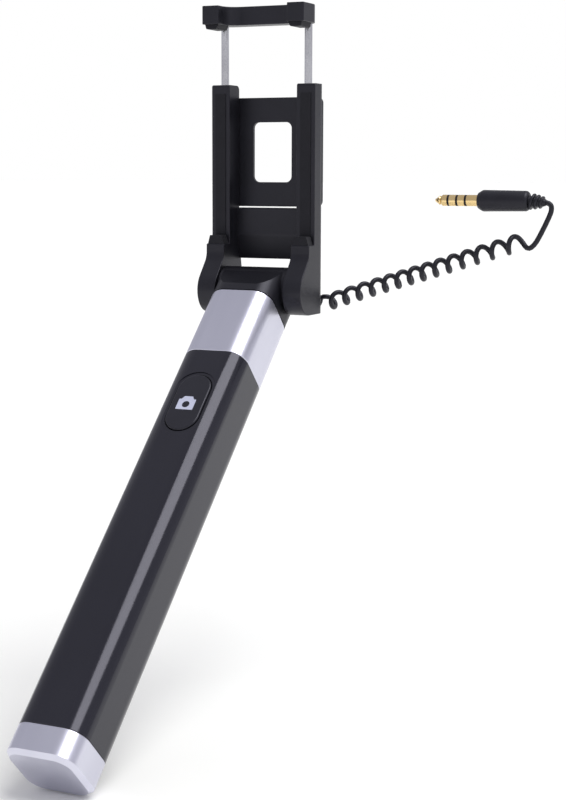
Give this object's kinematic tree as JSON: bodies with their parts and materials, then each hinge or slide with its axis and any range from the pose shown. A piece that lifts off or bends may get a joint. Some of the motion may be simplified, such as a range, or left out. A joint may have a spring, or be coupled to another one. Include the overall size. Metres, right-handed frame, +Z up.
{
  "type": "selfie stick",
  "caption": "Telescopic handle with a shutter button and a tilting sprung clamp that holds a phone, wired by a curly cord to an audio plug.",
  "frame": {"origin": "centre of the flat end face of the handle's end cap", "axes": "+Z up with the clamp upright; +X across the clamp, towards the cord's plug; +Y away from the user, so the handle comes down towards -Y"},
  "size_m": [0.1178, 0.1553, 0.221],
  "materials": {
    "gloss_black_shell": "gloss",
    "satin_aluminium": "satin",
    "matte_black_plastic": "matte",
    "button_plastic": "satin",
    "pale_inlay": "satin",
    "bright_steel": "polished",
    "tube_steel": "brushed",
    "bush_plastic": "matte",
    "board_green": "satin",
    "pad_rubber": "matte",
    "cord_rubber": "satin",
    "gold_contact": "polished"
  },
  "bodies": {
    "handle": {"grip_shell": "gloss_black_shell", "top_collar": "satin_aluminium", "end_cap": "satin_aluminium", "upper_tube_holder": "matte_black_plastic", "lower_tube_holder": "matte_black_plastic", "tube_plug": "matte_black_plastic", "stick_lead": "cord_rubber", "switch_board": "board_green", "dome_switch": "bright_steel", "board_wire": "cord_rubber", "outer_tube": "tube_steel", "guide_ring_1": "bush_plastic"},
    "button": {"shutter_button": "button_plastic", "camera_mark": "pale_inlay"},
    "stage_1": {"tube_1": "tube_steel", "slide_bush_1": "bush_plastic", "guide_ring_2": "bush_plastic"},
    "stage_2": {"tube_2": "tube_steel", "slide_bush_2": "bush_plastic", "guide_ring_3": "bush_plastic"},
    "stage_3": {"tube_3": "tube_steel", "slide_bush_3": "bush_plastic", "guide_ring_4": "bush_plastic"},
    "stage_4": {"tube_4": "tube_steel", "slide_bush_4": "bush_plastic", "guide_ring_5": "bush_plastic"},
    "stage_5": {"tube_5": "tube_steel", "slide_bush_5": "bush_plastic", "knuckle": "matte_black_plastic"},
    "clamp": {"hinge_pin": "bright_steel", "hinge_nut": "bright_steel", "hinge_caps": "matte_black_plastic", "friction_washers": "bush_plastic", "clamp_body": "matte_black_plastic", "back_plate": "matte_black_plastic", "plate_screws": "bright_steel", "lower_pads": "pad_rubber", "rest_strips": "pad_rubber", "cord_grommet": "cord_rubber", "cord_lead": "cord_rubber", "curly_cord": "cord_rubber", "cord_tail": "cord_rubber", "plug_body": "cord_rubber", "plug_relief": "cord_rubber", "plug_contact": "gold_contact", "jaw_springs": "bright_steel"},
    "upper_jaw": {"upper_jaw": "matte_black_plastic", "upper_pads": "pad_rubber", "guide_rods": "bright_steel"}
  },
  "joints": [
    {"name": "tube_slide_1", "type": "slide", "parent": "handle", "child": "stage_1", "axis": [0, 0.7254, 0.6884], "range_m": [0, 0.125], "deforming": ["stick_lead"]},
    {"name": "tube_slide_2", "type": "slide", "parent": "stage_1", "child": "stage_2", "axis": [0, 0.7254, 0.6884], "range_m": [0, 0.125], "deforming": ["stick_lead"]},
    {"name": "tube_slide_3", "type": "slide", "parent": "stage_2", "child": "stage_3", "axis": [0, 0.7254, 0.6884], "range_m": [0, 0.125], "deforming": ["stick_lead"]},
    {"name": "tube_slide_4", "type": "slide", "parent": "stage_3", "child": "stage_4", "axis": [0, 0.7254, 0.6884], "range_m": [0, 0.125], "deforming": ["stick_lead"]},
    {"name": "tube_slide_5", "type": "slide", "parent": "stage_4", "child": "stage_5", "axis": [0, 0.7254, 0.6884], "range_m": [0, 0.125], "deforming": ["stick_lead"]},
    {"name": "head_tilt", "type": "hinge", "parent": "stage_5", "child": "clamp", "pos_m": [0, 0.1297, 0.12308], "axis": [1, 0, 0], "range_deg": [-91.5, 123.5]},
    {"name": "jaw_slide", "type": "slide", "parent": "clamp", "child": "upper_jaw", "axis": [0, 0, 1], "range_m": [-0.012, 0.018], "stiffness_N_per_m": 150, "springref_m": -0.012, "deforming": ["jaw_springs"]},
    {"name": "shutter_press", "type": "slide", "parent": "handle", "child": "button", "axis": [0, 0.6884, -0.7254], "range_m": [0, 0.00035], "stiffness_N_per_m": 3000, "springref_m": -0.0002}
  ]
}
